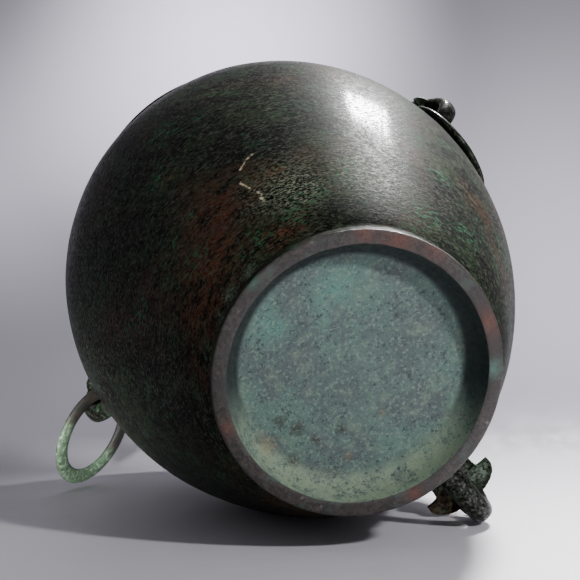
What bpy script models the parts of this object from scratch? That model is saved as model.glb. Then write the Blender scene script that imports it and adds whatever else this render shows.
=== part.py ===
"""A bronze lei: a round-bellied wine vessel on a ring foot, with an open mouth, two ring handles on
the shoulder and a beast-head lug low on the front. Metres, +Z up, the foot's rim at z = 0, the
handles on the +X and -X sides and the lug on the -Y side, with the model's box centred over the
origin. The rings lie as they fall when the vessel is laid on its side."""
import math

import bmesh
import bpy
from mathutils import Matrix, Vector

# The vessel's turned form, by radius and height
BELLY_RADIUS = 0.175
BELLY_HEIGHT = 0.257
FOOT_RADIUS = 0.1057
FOOT_RIM_WIDTH = 0.011
FOOT_HEIGHT = 0.014
FOOT_TAPER = 0.0012
RECESS_DEPTH = 0.023
RECESS_FLOOR_RADIUS = 0.085
SHOULDER_TOP_RADIUS = 0.112
NECK_RADIUS = 0.105
LIP_RADIUS = 0.1345
LIP_THICKNESS = 0.006
HEIGHT = 0.468
MOUTH_TO_NECK = 0.054
NECK_TO_SHOULDER = 0.0185
WALL = 0.0035
EDGE = 0.0008

NECK_HEIGHT = HEIGHT - MOUTH_TO_NECK
SHOULDER_TOP_HEIGHT = NECK_HEIGHT - NECK_TO_SHOULDER

# The turned surfaces are cut into this many flats
TURN_STEPS = 60

# The shoulder handles: each loop's middle line is a squared oval in a plane through the axis, its
# middle off the wall by the gap, leaning up from square to the wall by the lift in degrees
SHOULDER_TO_HANDLE = 0.0553
HANDLE_WALL_GAP = 0.006
HANDLE_LIFT = 5.183
HANDLE_STANDOFF = 0.0215
HANDLE_HALF_RISE = 0.0272
HANDLE_WIDTH = 0.0205
HANDLE_THICKNESS = 0.0115
HANDLE_EAR_PLACE = 0.53
HANDLE_EAR_SPAN = 0.033

# The lug low on the front is the same kind of loop, larger and level
LUG_MIDDLE_HEIGHT = 0.114
LUG_WALL_GAP = 0.005
LUG_LIFT = 18.097
LUG_STANDOFF = 0.0385
LUG_HALF_RISE = 0.036
LUG_WIDTH = 0.0234
LUG_THICKNESS = 0.013
LUG_EAR_PLACE = 0.42
LUG_EAR_SPAN = 0.057

# The beast's head on each loop: its places from 0 to 1 along the loop, and what it adds to the strap
HEAD_PLACE = 0.27
HEAD_REACH = 0.22
HEAD_WIDENS = 0.65
HEAD_THICKENS = 0.45
MUZZLE_PLACE = 0.46
MUZZLE_REACH = 0.08
MUZZLE_THICKENS = 0.2
WAIST_PLACE = 0.56
WAIST_REACH = 0.12
WAIST_NARROWS = 0.15
TAPER_START = 0.6
TAPER_NARROWS = 0.34

# The loose rings, round their middle line, how far their inside stays off the strap, and the least
# that they stay off the wall
RING_RADIUS = 0.0391
RING_WIDTH = 0.0125
RING_THICKNESS = 0.0068
RING_PLAY = 0.0008
RING_OFF_WALL = 0.0003

# Where each ring hangs along the strap, how wide the strap is there as a share of the handle's
# width, which way the ring's middle lies from it and which way the ring faces. In the loop's own
# directions: square out, round the vessel, and up along the wall
RIGHT_HOLD = 0.74
RIGHT_STRAP_SHARE = 0.407
RIGHT_LIE = (0.7526, -0.6580, 0.2085)
RIGHT_FACING = (-0.6191, -0.6129, -0.4910)
LEFT_HOLD = 0.94
LEFT_STRAP_SHARE = 0.36
LEFT_LIE = (-0.1004, 0.9670, 0.2344)
LEFT_FACING = (0.9749, 0.1415, -0.1722)

# Each ring's hinge point, from the strap's middle line, in ring radii
RIGHT_HINGE = (-0.3875, 0.2430, 0.4036)
LEFT_HINGE = (-0.1845, -0.2379, 0.2215)

SMOOTH_ANGLE = math.radians(40)

BRONZE_DARK = (0.045, 0.05, 0.04, 1)
BRONZE_GREEN = (0.09, 0.13, 0.1, 1)


def material(name, colour, roughness):
    made = bpy.data.materials.new(name)
    made.use_nodes = True
    shader = made.node_tree.nodes["Principled BSDF"]
    shader.inputs["Base Color"].default_value = colour
    shader.inputs["Roughness"].default_value = roughness
    shader.inputs["Metallic"].default_value = 0.6
    return made


def object_from(mesh_maker, name):
    """A closed mesh object, its faces turned outwards."""
    bm = bmesh.new()
    mesh_maker(bm)
    bmesh.ops.recalc_face_normals(bm, faces=bm.faces)
    mesh = bpy.data.meshes.new(name)
    bm.to_mesh(mesh)
    bm.free()
    mesh.shade_smooth()
    mesh.set_sharp_from_angle(angle=SMOOTH_ANGLE)
    made = bpy.data.objects.new(name, mesh)
    bpy.context.scene.collection.objects.link(made)
    return made


def tool(made):
    """Marks an object that only shapes another one."""
    made.hide_render = True
    made.display_type = "WIRE"
    return made


def combine(target, other, operation):
    modifier = target.modifiers.new(other.name, "BOOLEAN")
    modifier.operation = operation
    modifier.object = other


def bezier(start, start_pull, end_pull, end, steps):
    """Points of a cubic curve after its start, up to its end."""
    points = []
    for i in range(1, steps + 1):
        t = i / steps
        u = 1 - t
        weights = (u ** 3, 3 * u * u * t, 3 * u * t * t, t ** 3)
        pulls = (start, start_pull, end_pull, end)
        points.append(tuple(sum(w * p[k] for w, p in zip(weights, pulls)) for k in range(2)))
    return points


def body_curve(steps):
    """The outside of the wall, from the foot's top to the lip's edge, in steps for its four parts."""
    foot_top = (FOOT_RADIUS - FOOT_TAPER, FOOT_HEIGHT)
    belly = (BELLY_RADIUS, BELLY_HEIGHT)
    shoulder = (SHOULDER_TOP_RADIUS, SHOULDER_TOP_HEIGHT)
    neck = (NECK_RADIUS, NECK_HEIGHT)
    lip = (LIP_RADIUS, HEIGHT - LIP_THICKNESS / 2)
    lower_rise = BELLY_HEIGHT - FOOT_HEIGHT
    upper_rise = SHOULDER_TOP_HEIGHT - BELLY_HEIGHT
    lower_spread = BELLY_RADIUS - foot_top[0]
    upper_spread = BELLY_RADIUS - SHOULDER_TOP_RADIUS
    neck_rise = NECK_HEIGHT - SHOULDER_TOP_HEIGHT
    lip_rise = lip[1] - NECK_HEIGHT
    points = [foot_top]
    points += bezier(foot_top, (foot_top[0] + 0.26 * lower_spread, FOOT_HEIGHT + 0.11 * lower_rise),
                     (BELLY_RADIUS, BELLY_HEIGHT - 0.35 * lower_rise), belly, steps[0])
    points += bezier(belly, (BELLY_RADIUS, BELLY_HEIGHT + 0.57 * upper_rise),
                     (SHOULDER_TOP_RADIUS + 0.6 * upper_spread, SHOULDER_TOP_HEIGHT - 0.07 * upper_rise),
                     shoulder, steps[1])
    points += bezier(shoulder, (NECK_RADIUS, SHOULDER_TOP_HEIGHT + 0.1 * neck_rise),
                     (NECK_RADIUS, NECK_HEIGHT - 0.4 * neck_rise), neck, steps[2])
    points += bezier(neck, (NECK_RADIUS, NECK_HEIGHT + 0.45 * lip_rise),
                     (LIP_RADIUS - 0.35 * (LIP_RADIUS - NECK_RADIUS), lip[1] - 0.3 * lip_rise), lip, steps[3])
    return points


def inner_curve():
    """The inside of the wall above the floor: the outside moved in by the wall's thickness, which
    grows to the lip's above the neck."""
    lip_steps = 3
    outside = body_curve((8, 6, 2, lip_steps))
    floor = RECESS_DEPTH + WALL
    points = []
    for i, (radius, height) in enumerate(outside):
        before = outside[max(i - 1, 0)]
        after = outside[min(i + 1, len(outside) - 1)]
        along = Vector((after[0] - before[0], after[1] - before[1])).normalized()
        up_the_lip = max(i + 1 + lip_steps - len(outside), 0) / lip_steps
        thickness = WALL + (LIP_THICKNESS - WALL) * up_the_lip
        moved = (radius - thickness * along.y, height + thickness * along.x)
        if moved[1] > floor + WALL / 2:
            points.append(moved)
    first = points[0]
    points.insert(0, (first[0] - (first[1] - floor), floor))
    return points


def turn(bm, outline):
    """Turns an outline of (radius, height) round Z. Its first and last points lie on the axis."""
    rings = []
    for radius, height in outline:
        if radius == 0:
            rings.append([bm.verts.new((0, 0, height))])
            continue
        angles = (2 * math.pi * k / TURN_STEPS for k in range(TURN_STEPS))
        rings.append([bm.verts.new((radius * math.cos(a), radius * math.sin(a), height)) for a in angles])
    for lower, upper in zip(rings, rings[1:]):
        for k in range(TURN_STEPS):
            j = (k + 1) % TURN_STEPS
            if len(lower) == 1:
                bm.faces.new((lower[0], upper[k], upper[j]))
            elif len(upper) == 1:
                bm.faces.new((lower[k], upper[0], lower[j]))
            else:
                bm.faces.new((lower[k], upper[k], upper[j], lower[j]))


def outer_outline():
    """The vessel as if it were solid, with the foot's rim and the recess under the floor."""
    inner_rim = FOOT_RADIUS - FOOT_RIM_WIDTH
    floor_edge = 0.93 * RECESS_FLOOR_RADIUS
    recess = bezier((floor_edge, RECESS_DEPTH), (RECESS_FLOOR_RADIUS, RECESS_DEPTH),
                    (inner_rim - EDGE, 0.75 * RECESS_DEPTH), (inner_rim, EDGE), 4)
    outline = [(0, RECESS_DEPTH), (floor_edge, RECESS_DEPTH)] + recess
    outline += [(inner_rim + EDGE, 0), (FOOT_RADIUS - EDGE, 0), (FOOT_RADIUS, EDGE)]
    outline += body_curve((10, 8, 2, 4))
    outline += [(LIP_RADIUS - EDGE, HEIGHT), (0, HEIGHT)]
    return outline


def cavity_outline():
    """The hollow inside, carried on past the mouth."""
    inside = inner_curve()
    above = inside[-1][1] + WALL
    return [(0, inside[0][1])] + inside + [(inside[-1][0], above), (0, above)]


def body_radius(height, curve=body_curve((24, 24, 4, 8))):
    """The vessel's outside radius at a height."""
    for (r0, z0), (r1, z1) in zip(curve, curve[1:]):
        if z0 <= height <= z1:
            return r0 + (r1 - r0) * (height - z0) / (z1 - z0)
    return curve[-1][0]


def wall_lean(height):
    """How far the wall faces up at a height, in degrees."""
    return math.degrees(math.atan2(body_radius(height - WALL) - body_radius(height + WALL), 2 * WALL))


def bump(s, place, reach):
    """A smooth hump, 1 at its place and 0 past its reach."""
    gap = min(abs(s - place) / reach, 1)
    return 0.5 + 0.5 * math.cos(math.pi * gap)


def squared(out, up, power):
    """Pushes a point of the unit circle out on to a squared oval."""
    return (abs(out) ** power + abs(up) ** power) ** (-1 / power)


def loop_point(s, middle, tilt, standoff, half_rise):
    """The loop's middle line, from inside the wall above, round the front, to the wall below."""
    angle = math.radians(150 - 275 * s)
    out, up = math.cos(angle), math.sin(angle)
    push = squared(out, up, 2.5)
    out, up = standoff * out * push, half_rise * up * push
    lean = math.radians(tilt)
    return Vector((middle[0] + out * math.cos(lean) - up * math.sin(lean), 0,
                   middle[1] + out * math.sin(lean) + up * math.cos(lean)))


def sweep(bm, stations, sides):
    """A closed bar through stations of (middle, across, thickness direction, half sizes)."""
    rings = []
    for middle, across, over, half_width, half_thick in stations:
        ring = []
        for k in range(sides):
            a = 2 * math.pi * (k + 0.5) / sides
            c, s = math.cos(a), math.sin(a)
            push = squared(c, s, 2.4)
            ring.append(bm.verts.new(middle + across * half_width * c * push + over * half_thick * s * push))
        rings.append(ring)
    for lower, upper in zip(rings, rings[1:]):
        for k in range(sides):
            j = (k + 1) % sides
            bm.faces.new((lower[k], lower[j], upper[j], upper[k]))
    bm.faces.new(rings[0][::-1])
    bm.faces.new(rings[-1])


def loop_with_head(name, path, width, thickness):
    """A strap that leaves the mouth of a beast's head above and comes back to the wall below."""
    steps = 18

    def make(bm):
        stations = []
        for i in range(steps + 1):
            s = i / steps
            along = (loop_point(s + 0.01, *path) - loop_point(s - 0.01, *path)).normalized()
            over = Vector((along.z, 0, -along.x))
            head = bump(s, HEAD_PLACE, HEAD_REACH)
            muzzle = bump(s, MUZZLE_PLACE, MUZZLE_REACH)
            waist = bump(s, WAIST_PLACE, WAIST_REACH)
            taper = max(s - TAPER_START, 0) / (1 - TAPER_START)
            half_width = width / 2 * (1 + HEAD_WIDENS * head - WAIST_NARROWS * waist - TAPER_NARROWS * taper)
            half_thick = thickness / 2 * (1 + HEAD_THICKENS * head + MUZZLE_THICKENS * muzzle)
            middle = loop_point(s, *path) - over * (half_thick - thickness / 2)
            stations.append((middle, Vector((0, 1, 0)), over, half_width, half_thick))
        sweep(bm, stations, 8)
    return tool(object_from(make, name))


def ear(name, path, width, side, place, reach):
    """A leaf-shaped ear that leaves the head's side and is swept back to the wall."""
    steps = 6
    root = loop_point(place, *path)
    start = root + Vector((0, 0.2 * side * width, 0))
    tip = root + Vector((-0.33 * reach, side * reach, -0.15 * reach))
    along = (tip - start).normalized()
    broad = Vector((along.y, -along.x, 0)).normalized()
    thin = along.cross(broad)

    def make(bm):
        stations = []
        for i in range(steps + 1):
            t = i / steps
            leaf = 0.36 * width * (0.12 + 0.88 * math.sqrt(1 - t ** 3))
            stations.append((start.lerp(tip, t), broad, thin, leaf, 0.13 * width * (1 - 0.5 * t)))
        sweep(bm, stations, 6)
    return tool(object_from(make, name))


def eye(name, path, width, side):
    """A round boss for the eye, on the head's brow."""
    place = loop_point(0.3, *path)
    out = (place - Vector((path[0][0], 0, path[0][1]))).normalized()
    place = place + out * 0.34 * width + Vector((0, 0.36 * side * width, 0))

    def make(bm):
        bmesh.ops.create_icosphere(bm, subdivisions=1, radius=0.2 * width, matrix=Matrix.Translation(place))
    return tool(object_from(make, name))


def lug_path(middle_height, wall_gap, lift, standoff, half_rise):
    """What loop_point needs for one lug: its middle out from the wall, its lean and its half sizes."""
    tilt = wall_lean(middle_height) + lift
    return (body_radius(middle_height) + wall_gap, middle_height), tilt, standoff, half_rise


def handle_path():
    middle_height = SHOULDER_TOP_HEIGHT - SHOULDER_TO_HANDLE
    return lug_path(middle_height, HANDLE_WALL_GAP, HANDLE_LIFT, HANDLE_STANDOFF, HANDLE_HALF_RISE)


def lug(name, azimuth, path, width, thickness, ear_place, ear_span):
    """Every shape of one lug, turned to its place round the vessel."""
    made = [loop_with_head(name + "_loop", path, width, thickness)]
    for side, label in ((1, "a"), (-1, "b")):
        made.append(ear(name + "_ear_" + label, path, width, side, ear_place, ear_span / 2))
        made.append(eye(name + "_eye_" + label, path, width, side))
    for shape in made:
        shape.data.transform(Matrix.Rotation(math.radians(azimuth), 4, "Z"))
    return made


def vessel():
    """The casting: body, foot, neck and lip with all three lugs, hollow."""
    made = object_from(lambda bm: turn(bm, outer_outline()), "vessel")
    handle = (handle_path(), HANDLE_WIDTH, HANDLE_THICKNESS, HANDLE_EAR_PLACE, HANDLE_EAR_SPAN)
    front_path = lug_path(LUG_MIDDLE_HEIGHT, LUG_WALL_GAP, LUG_LIFT, LUG_STANDOFF, LUG_HALF_RISE)
    front = (front_path, LUG_WIDTH, LUG_THICKNESS, LUG_EAR_PLACE, LUG_EAR_SPAN)
    shapes = lug("handle_right", 0, *handle) + lug("handle_left", 180, *handle) + lug("front_lug", -90, *front)
    for shape in shapes:
        combine(made, shape, "UNION")
    cavity = tool(object_from(lambda bm: turn(bm, cavity_outline()), "cavity"))
    combine(made, cavity, "DIFFERENCE")
    made.data.materials.append(material("dark bronze", BRONZE_DARK, 0.4))
    return made


def ring_rows(middle, across):
    """The points of a ring round its middle, in rows round its section."""
    steps, sides = 32, 8
    start = across.orthogonal().normalized()
    rows = []
    for i in range(steps):
        out = Matrix.Rotation(2 * math.pi * i / steps, 3, across) @ start
        row = []
        for k in range(sides):
            a = 2 * math.pi * k / sides
            from_middle = out * (RING_RADIUS + RING_WIDTH / 2 * math.cos(a))
            row.append(middle + from_middle + across * RING_THICKNESS / 2 * math.sin(a))
        rows.append(row)
    return rows


def off_wall(rows):
    """The least that a ring's points stand off the wall, measured level."""
    return min(math.hypot(point.x, point.y) - body_radius(point.z) for row in rows for point in row)


def seated(strap, lie, across, slack):
    """The ring's middle and facing, lifted off the wall round the strap where it would cut into it."""
    lift_axis = lie.cross(across).normalized()
    step = math.radians(0.5)
    if (Matrix.Rotation(step, 3, lift_axis) @ lie).x < lie.x:
        lift_axis.negate()
    for k in range(60):
        turn = Matrix.Rotation(step * k, 3, lift_axis)
        middle = strap + turn @ lie * slack
        if off_wall(ring_rows(middle, turn @ across)) >= RING_OFF_WALL:
            break
    return middle, turn @ across


def ring(name, azimuth, hold, strap_share, lie, facing, hinge, colour):
    """A loose ring threaded on a handle's strap, its origin on its hinge line."""
    path = handle_path()
    turned = Matrix.Rotation(math.radians(azimuth), 3, "Z")
    loop_turn = Matrix.Rotation(-math.radians(path[1]), 3, "Y")
    strap = loop_point(hold, *path)
    slack = RING_RADIUS - RING_WIDTH / 2 - strap_share * HANDLE_WIDTH - RING_PLAY
    lie = (loop_turn @ Vector(lie)).normalized()
    across = (loop_turn @ Vector(facing)).normalized()
    hub = strap + loop_turn @ Vector(hinge) * RING_RADIUS
    middle, across = seated(strap, lie, across, slack)
    rows = ring_rows(turned @ (middle - hub), turned @ across)

    def make(bm):
        loops = [[bm.verts.new(point) for point in row] for row in rows]
        for i, lower in enumerate(loops):
            upper = loops[(i + 1) % len(loops)]
            for k in range(len(lower)):
                j = (k + 1) % len(lower)
                bm.faces.new((lower[k], lower[j], upper[j], upper[k]))
    made = object_from(make, name)
    made.location = turned @ hub
    made.data.materials.append(material(name + " bronze", colour, 0.45))
    return made


def centre_on_box(pieces):
    """Moves everything level so that the pieces' box stands centred over the origin."""
    graph = bpy.context.evaluated_depsgraph_get()
    for axis in range(2):
        reaches = []
        for piece in pieces:
            reaches += [corner[axis] + piece.location[axis] for corner in piece.evaluated_get(graph).bound_box]
        middle = (min(reaches) + max(reaches)) / 2
        for made in bpy.data.objects:
            made.location[axis] -= middle


def main():
    for old in list(bpy.data.objects):
        bpy.data.objects.remove(old, do_unlink=True)
    pieces = [
        vessel(),
        ring("ring_right", 0, RIGHT_HOLD, RIGHT_STRAP_SHARE, RIGHT_LIE, RIGHT_FACING, RIGHT_HINGE, BRONZE_GREEN),
        ring("ring_left", 180, LEFT_HOLD, LEFT_STRAP_SHARE, LEFT_LIE, LEFT_FACING, LEFT_HINGE, BRONZE_DARK),
    ]
    centre_on_box(pieces)


main()
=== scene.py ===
# %% [markdown]
# # A bronze lei, modelled and finished in Blender
# A lei is a wine vessel: a round belly on a ring foot, a short neck with a flared mouth, two ring
# handles on the shoulder and a lug low on the front, by which it was tipped to pour. This one lies
# on its side with its foot towards us. The CAD model is loaded first and stays as the frame that
# everything here is fitted to.

# %% The frame
import math

import bmesh
import bpy
from mathutils import Matrix, Vector


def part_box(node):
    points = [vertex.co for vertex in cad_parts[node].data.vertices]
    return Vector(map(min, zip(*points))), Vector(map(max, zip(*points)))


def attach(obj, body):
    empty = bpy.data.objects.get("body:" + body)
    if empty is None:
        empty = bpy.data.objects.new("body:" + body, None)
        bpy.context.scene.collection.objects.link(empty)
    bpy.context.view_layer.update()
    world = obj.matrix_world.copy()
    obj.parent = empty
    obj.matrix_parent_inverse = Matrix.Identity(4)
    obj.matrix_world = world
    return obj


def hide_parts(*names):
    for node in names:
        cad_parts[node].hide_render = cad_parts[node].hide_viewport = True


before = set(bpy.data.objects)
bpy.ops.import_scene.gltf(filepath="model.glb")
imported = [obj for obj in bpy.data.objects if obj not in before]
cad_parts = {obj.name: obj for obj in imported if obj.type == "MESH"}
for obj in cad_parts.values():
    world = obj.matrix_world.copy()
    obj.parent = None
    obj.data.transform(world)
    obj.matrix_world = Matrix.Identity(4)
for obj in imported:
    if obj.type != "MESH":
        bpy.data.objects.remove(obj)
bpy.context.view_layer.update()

# %% [markdown]
# ## The camera
# The photograph was taken from below the standing vessel's foot, with a long lens. Three
# directions fix how the camera is held: its right, its up and the way it looks back. The lens is
# long because the foot's rim is hardly smaller than the belly behind it.

# %% The camera
CAMERA_PLACE = Vector((-0.0563, 0.6727, -1.7106))
CAMERA_RIGHT = Vector((-0.7582, -0.6213, -0.1977))
CAMERA_UP = Vector((-0.6518, 0.7147, 0.2535))
CAMERA_LENS = 161.4


def turned_to(right, up):
    """A rotation whose X is the right direction and whose Y is the up direction."""
    right = right.normalized()
    back = right.cross(up).normalized()
    return Matrix((right, back.cross(right), back)).transposed().to_4x4()


bpy.ops.object.select_all(action="DESELECT")
bpy.ops.object.camera_add()
camera = bpy.context.object
camera.name = "photo_camera"
camera.matrix_world = Matrix.Translation(CAMERA_PLACE) @ turned_to(CAMERA_RIGHT, CAMERA_UP)
camera.data.lens = CAMERA_LENS
bpy.context.scene.camera = camera
print("camera", round(CAMERA_PLACE.length, 2), "m from the frame's origin")

# %% [markdown]
# ## Patterns on object coordinates
# Every finish here is made from a few patterns: a cloudy noise, a soft step, and a spot at a place
# with a ragged edge. They all read object coordinates, so they stay on the piece when it moves.
# Where two patterns are multiplied, a colour shows only where both are strong.

# %% Helpers for node materials
def new_material(name, roughness, coat=0.0, coat_roughness=0.1, metallic=0.0):
    made = bpy.data.materials.new(name)
    made.use_nodes = True
    shader = shader_of(made)
    shader.inputs["Metallic"].default_value = metallic
    shader.inputs["Roughness"].default_value = roughness
    shader.inputs["Coat Weight"].default_value = coat
    shader.inputs["Coat Roughness"].default_value = coat_roughness
    return made


def shader_of(material):
    """The material's own surface shader."""
    return material.node_tree.nodes["Principled BSDF"]


def node(material, kind, **settings):
    made = material.node_tree.nodes.new("ShaderNode" + kind)
    for key, value in settings.items():
        setattr(made, key, value)
    return made


def put(material, value, socket):
    """Links a socket, or sets a number or colour."""
    if isinstance(value, bpy.types.NodeSocket):
        material.node_tree.links.new(value, socket)
    elif isinstance(value, tuple) and socket.type == "RGBA":
        socket.default_value = (*value, 1)
    else:
        socket.default_value = value


def place_of(material, scale=(1, 1, 1)):
    """Object coordinates, stretched by a scale."""
    where = node(material, "TexCoord")
    mapping = node(material, "Mapping")
    mapping.inputs["Scale"].default_value = scale
    put(material, where.outputs["Object"], mapping.inputs["Vector"])
    return mapping.outputs["Vector"]


def noise(material, vector, size, detail=4, rough=0.6):
    """A cloudy pattern whose spots are about this size in metres."""
    made = node(material, "TexNoise")
    made.inputs["Scale"].default_value = 1 / size
    made.inputs["Detail"].default_value = detail
    made.inputs["Roughness"].default_value = rough
    put(material, vector, made.inputs["Vector"])
    return made.outputs["Fac"]


def step_between(material, value, low, high, to_low=0.0, to_high=1.0):
    """One value under low, another over high, smooth between."""
    made = node(material, "MapRange", interpolation_type="SMOOTHSTEP")
    put(material, value, made.inputs["Value"])
    for name, number in (("From Min", low), ("From Max", high), ("To Min", to_low), ("To Max", to_high)):
        made.inputs[name].default_value = number
    return made.outputs["Result"]


def maths(material, operation, *values):
    made = node(material, "Math", operation=operation)
    for socket, value in zip(made.inputs, values):
        put(material, value, socket)
    return made.outputs[0]


def laid_over(material, below, above, *masks):
    """A colour over another as far as all the masks let it. Each may be a socket or a value."""
    mask = masks[0]
    for other in masks[1:]:
        mask = maths(material, "MULTIPLY", mask, other)
    made = node(material, "Mix", data_type="RGBA")
    colours = [socket for socket in made.inputs if socket.type == "RGBA"]
    factor = [socket for socket in made.inputs if socket.type == "VALUE"][0]
    put(material, below, colours[0])
    put(material, above, colours[1])
    put(material, mask, factor)
    return [socket for socket in made.outputs if socket.type == "RGBA"][0]


def layered(material, colour, *layers):
    """Colours laid over the first one by one, each given with its masks."""
    for above, *masks in layers:
        colour = laid_over(material, colour, above, *masks)
    return colour


def reach_along(material, vector, direction):
    """How far a point lies along a direction."""
    made = node(material, "VectorMath", operation="DOT_PRODUCT")
    put(material, vector, made.inputs[0])
    made.inputs[1].default_value = direction
    return made.outputs["Value"]


def distance_from(material, vector, place):
    away = node(material, "VectorMath", operation="DISTANCE")
    put(material, vector, away.inputs[0])
    away.inputs[1].default_value = place
    return away.outputs["Value"]


SPOT_CORE = 0.35


def spots(material, vector, places, ragged, raggedness):
    """1 at each (x, y, z, reach) and 0 past its reach, with an edge that a pattern makes ragged."""
    mask = 0.0
    for x, y, z, reach in places:
        away = distance_from(material, vector, (x, y, z))
        away = maths(material, "MULTIPLY_ADD", ragged, raggedness * reach, away)
        reach = reach * (1 + raggedness / 2)
        spot = step_between(material, away, SPOT_CORE * reach, reach, 1.0, 0.0)
        mask = maths(material, "MAXIMUM", mask, spot)
    return mask


def finish_with(material, colour, rough, heights):
    """Joins colour, roughness and bumps, given as (pattern, strength, distance), to the shader."""
    shader = shader_of(material)
    put(material, colour, shader.inputs["Base Color"])
    put(material, rough, shader.inputs["Roughness"])
    for height, strength, distance in heights:
        made = node(material, "Bump")
        made.inputs["Strength"].default_value = strength
        made.inputs["Distance"].default_value = distance
        put(material, height, made.inputs["Height"])
        before = shader.inputs["Normal"].links
        if before:
            put(material, before[0].from_socket, made.inputs["Normal"])
        put(material, made.outputs["Normal"], shader.inputs["Normal"])


print("pattern helpers ready")

# %% [markdown]
# ## The floor and the backdrop
# The vessel lies on a pale table that rises behind it into a sloping backdrop. In the model's upright
# frame that table is tilted, so it is built from the photograph's own up direction, touching the
# lowest point of the solids. It shows on its front only, so that it hides nothing in other views.

# %% A pale table that rises into a backdrop
TABLE_UP = Vector((-0.651, 0.738, 0.178)).normalized()
CAMERA_AHEAD = CAMERA_UP.cross(CAMERA_RIGHT)
TABLE_AWAY = (CAMERA_AHEAD - TABLE_UP * CAMERA_AHEAD.dot(TABLE_UP)).normalized()
TABLE_RIGHT = TABLE_AWAY.cross(TABLE_UP)
TABLE_DEPTH = 0.42
TABLE_FRONT = 2.2
TABLE_HALF_WIDTH = 2.4
BEND_RADIUS = 0.16
SLOPE = 52
SLOPE_TOP_DEPTH = 1.7
BACKDROP_HEIGHT = 3.2
BEND_STEPS = 12

lowest = min(vertex.co.dot(TABLE_UP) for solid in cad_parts.values() for vertex in solid.data.vertices)


def table_point(across, away, up):
    """A point by its distances from the table's middle: to the right, away from us and up."""
    return TABLE_RIGHT * across + TABLE_AWAY * away + TABLE_UP * (lowest + up)


bpy.ops.object.select_all(action="DESELECT")
bpy.ops.mesh.primitive_plane_add(size=1)
table = bpy.context.object
table.name = "table_and_backdrop"
profile = [(-TABLE_FRONT, 0.0), (0.0, 0.0)]
for step in range(BEND_STEPS + 1):
    turned = math.radians(SLOPE * step / BEND_STEPS)
    profile.append((TABLE_DEPTH + BEND_RADIUS * math.sin(turned), BEND_RADIUS * (1 - math.cos(turned))))
slope_top = profile[-1][1] + (SLOPE_TOP_DEPTH - profile[-1][0]) * math.tan(math.radians(SLOPE))
profile += [(SLOPE_TOP_DEPTH, slope_top), (SLOPE_TOP_DEPTH + 0.01, BACKDROP_HEIGHT)]
shape = bmesh.new()
edges = []
for across in (-TABLE_HALF_WIDTH, TABLE_HALF_WIDTH):
    edges.append([shape.verts.new(table_point(across, away, up)) for away, up in profile])
for k in range(len(profile) - 1):
    shape.faces.new((edges[0][k], edges[1][k], edges[1][k + 1], edges[0][k + 1]))
shape.to_mesh(table.data)
shape.free()
bpy.ops.object.shade_smooth()
print("table touches the vessel at", round(lowest, 4), "and slopes up from", TABLE_DEPTH, "m behind it")

# %% [markdown]
# The backdrop is not lit by a lamp but glows as painted light: brightest behind the vessel's top left,
# fair on the right and dark low on the left. That glow is a few soft pools, given across and up in metres.

# %% The table's finish and the painted glow on the backdrop
TABLE_GREY = (0.68, 0.66, 0.71)
BACKDROP_GREY = (0.05, 0.05, 0.055)
BACKDROP_GLOW_TINT = (0.95, 0.9, 1.06)
BACKDROP_BASE_GLOW = 0.24
BACKDROP_FOOT = 0.022
PAINTED_GLOW_POOLS = [(-0.06, 0.37, 0.25, 1.8), (0.265, 0.14, 0.32, 0.62), (-0.265, 0.26, 0.18, 0.42),
         (-0.29, 0.01, 0.23, 0.03)]

pale = new_material("pale_table", 0.6)
here = place_of(pale)
across = maths(pale, "SUBTRACT", reach_along(pale, here, TABLE_RIGHT), CAMERA_PLACE.dot(TABLE_RIGHT))
height = maths(pale, "SUBTRACT", reach_along(pale, here, TABLE_UP), lowest)
flat = node(pale, "CombineXYZ")
put(pale, across, flat.inputs["X"])
put(pale, height, flat.inputs["Y"])
glow = BACKDROP_BASE_GLOW
for x, y, reach, strength in PAINTED_GLOW_POOLS:
    away = distance_from(pale, flat.outputs["Vector"], (x, y, 0))
    glow = maths(pale, "ADD", glow, step_between(pale, away, 0, reach, strength, 0.0))
risen = step_between(pale, height, 0.0, BACKDROP_FOOT)
shader = shader_of(pale)
put(pale, laid_over(pale, TABLE_GREY, BACKDROP_GREY, risen), shader.inputs["Base Color"])
# The backdrop's dark base shows mostly its own glow: painted light in soft pools.
shader.inputs["Emission Color"].default_value = (*BACKDROP_GLOW_TINT, 1)
put(pale, maths(pale, "MULTIPLY", glow, risen), shader.inputs["Emission Strength"])
put(pale, step_between(pale, noise(pale, here, 0.02, 3), 0.3, 0.7, 0.5, 0.62), shader.inputs["Roughness"])
sides = node(pale, "NewGeometry")
clear = node(pale, "BsdfTransparent")
either = node(pale, "MixShader")
put(pale, sides.outputs["Backfacing"], either.inputs[0])
put(pale, shader.outputs[0], either.inputs[1])
put(pale, clear.outputs[0], either.inputs[2])
put(pale, either.outputs[0], pale.node_tree.nodes["Material Output"].inputs["Surface"])
table.data.materials.append(pale)
print("backdrop has", len(PAINTED_GLOW_POOLS), "pools of light")

# %% [markdown]
# ## The light
# A softbox with a grid hangs above and behind the vessel, to the right: its reflection is the white
# glow on the upper right of the belly, and the vessel's shadow falls towards us. A weaker lamp near
# the camera, also from the upper right, reaches into the foot and throws the crescent of shadow
# inside its rim, which a painted shadow on the recess's wall makes darker. A narrow lamp picks out
# the open ring, which the belly shades from the others, and a wide weak one lifts the far side. The
# studio itself is dark, so that the bronze stays dark.

# %% Softboxes
VESSEL_MIDDLE = Vector((-0.024, 0.011, 0.22))
SHEEN_PLACE = Vector((-0.156, 0.103, 0.159))
RING_PLACE = Vector((0.18, -0.004, 0.337))
SHEEN_LAMP_SIDE = (-0.624, 0.107, 0.774)
FOOT_LAMP_SIDE = (-0.682, 0.187, -0.707)
FILL_LAMP_SIDE = (0.75, -0.15, 0.6)
RING_LAMP_SIDE = (0.2, 0.35, -0.9)
STUDIO_TINT = (0.95, 0.94, 1.0, 1)
STUDIO_LIGHT = 0.24
OPEN_VIEW_LIGHT = 0.55


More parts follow.
